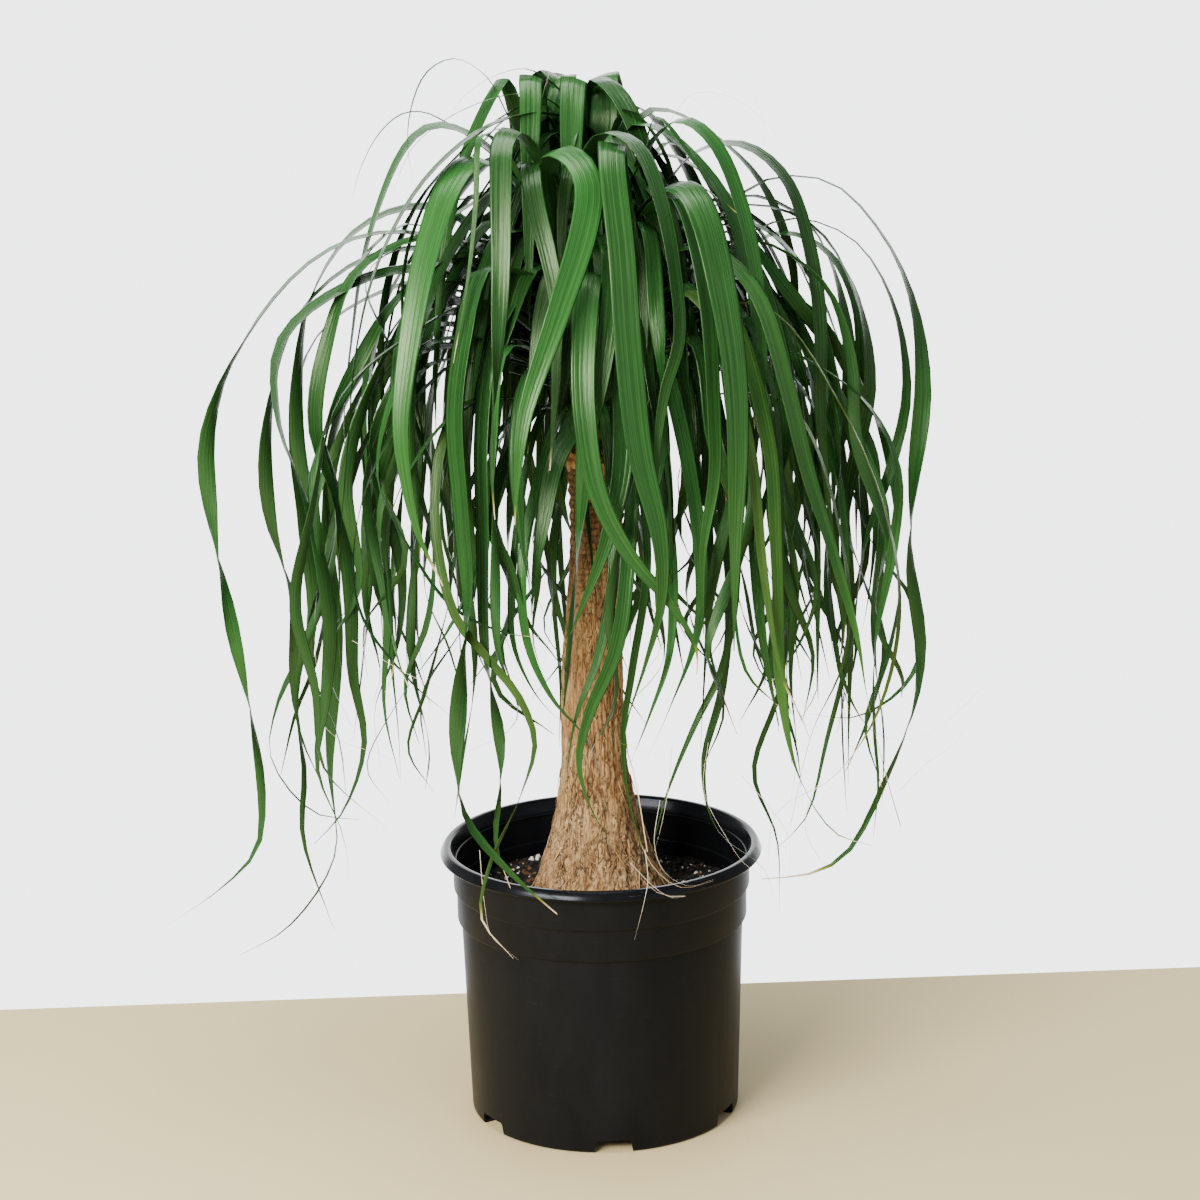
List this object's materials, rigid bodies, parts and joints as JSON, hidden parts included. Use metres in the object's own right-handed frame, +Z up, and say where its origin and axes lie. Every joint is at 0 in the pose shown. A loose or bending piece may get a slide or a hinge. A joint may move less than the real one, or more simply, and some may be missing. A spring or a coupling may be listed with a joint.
{
  "type": "potted ponytail palm",
  "caption": "Ponytail palm with a swollen trunk and a fountain of long arching strap leaves, growing in a round black nursery pot.",
  "frame": {"origin": "middle of the flat underside of the pot, on the surface that it stands on", "axes": "+Z up along the pot's axis; -Y towards the viewer of the picture; +X to the viewer's right"},
  "size_m": [0.6797, 0.3621, 0.8852],
  "materials": {
    "pot": "satin black moulded polyethylene",
    "soil": "matt dark potting mix with white perlite and bark chips",
    "trunk": "matt fibrous pale bark with fine upright cracks",
    "dry_leaves": "matt papery dead leaf",
    "leaves": "waxy satin green with a pale sheen"
  },
  "bodies": {
    "root": {"pot": "pot", "soil": "soil", "trunk": "trunk", "dry_leaf_bases": "dry_leaves", "leaf_crown": "leaves"}
  },
  "joints": []
}
